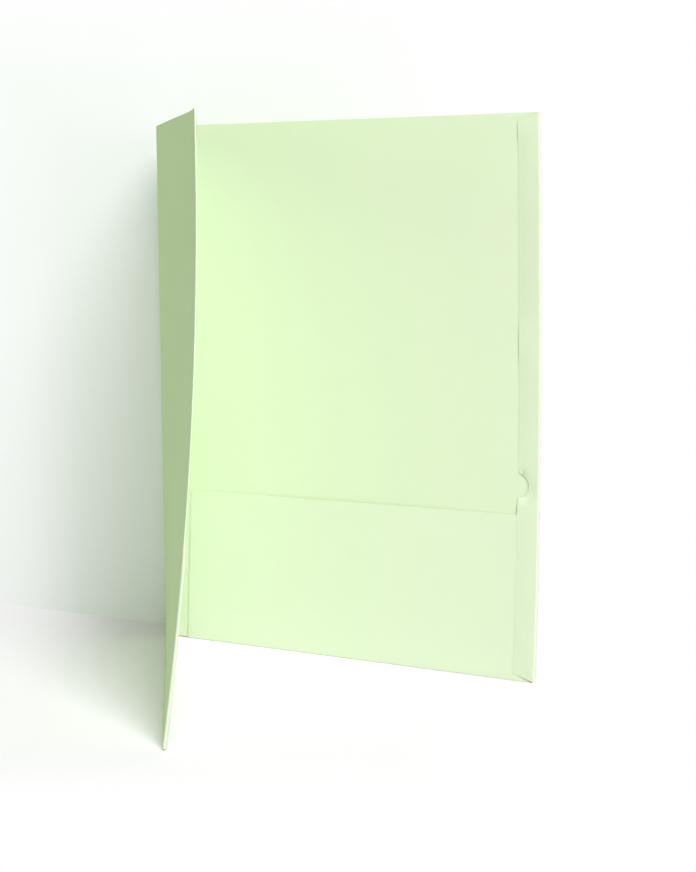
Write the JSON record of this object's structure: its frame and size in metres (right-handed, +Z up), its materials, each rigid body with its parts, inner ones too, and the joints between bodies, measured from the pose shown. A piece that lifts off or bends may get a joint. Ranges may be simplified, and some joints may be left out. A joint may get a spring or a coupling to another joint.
{
  "type": "pocket folder",
  "caption": "Letter-size card folder that stands open on its bottom folds, with a glued pocket at the foot of each cover, folded edge flaps and a creased spine that opens flat.",
  "frame": {"origin": "on the surface that the folder stands on, under the middle of its box", "axes": "+Z up along the spine, +X along the back cover from the spine to its outer edge, +Y out of the back cover's outside face"},
  "size_m": [0.2382, 0.1968, 0.2984],
  "materials": {
    "card": "matte",
    "glue": "satin"
  },
  "bodies": {
    "back": {"back_cover": "card", "back_pocket": "card", "back_pocket_fold": "card", "back_edge_flap": "card", "back_edge_fold": "card", "back_pocket_glue": "glue", "back_flap_glue": "glue", "spine_fold": "card"},
    "front": {"front_cover": "card", "front_pocket": "card", "front_pocket_fold": "card", "front_edge_flap": "card", "front_edge_fold": "card", "front_pocket_glue": "glue", "front_flap_glue": "glue"}
  },
  "joints": [
    {"name": "spine_hinge", "type": "hinge", "parent": "back", "child": "front", "pos_m": [-0.1171, 0.09646, 0.14922], "axis": [0, 0, -1], "range_deg": [-50.4, 129.6], "deforming": ["spine_fold"]}
  ]
}
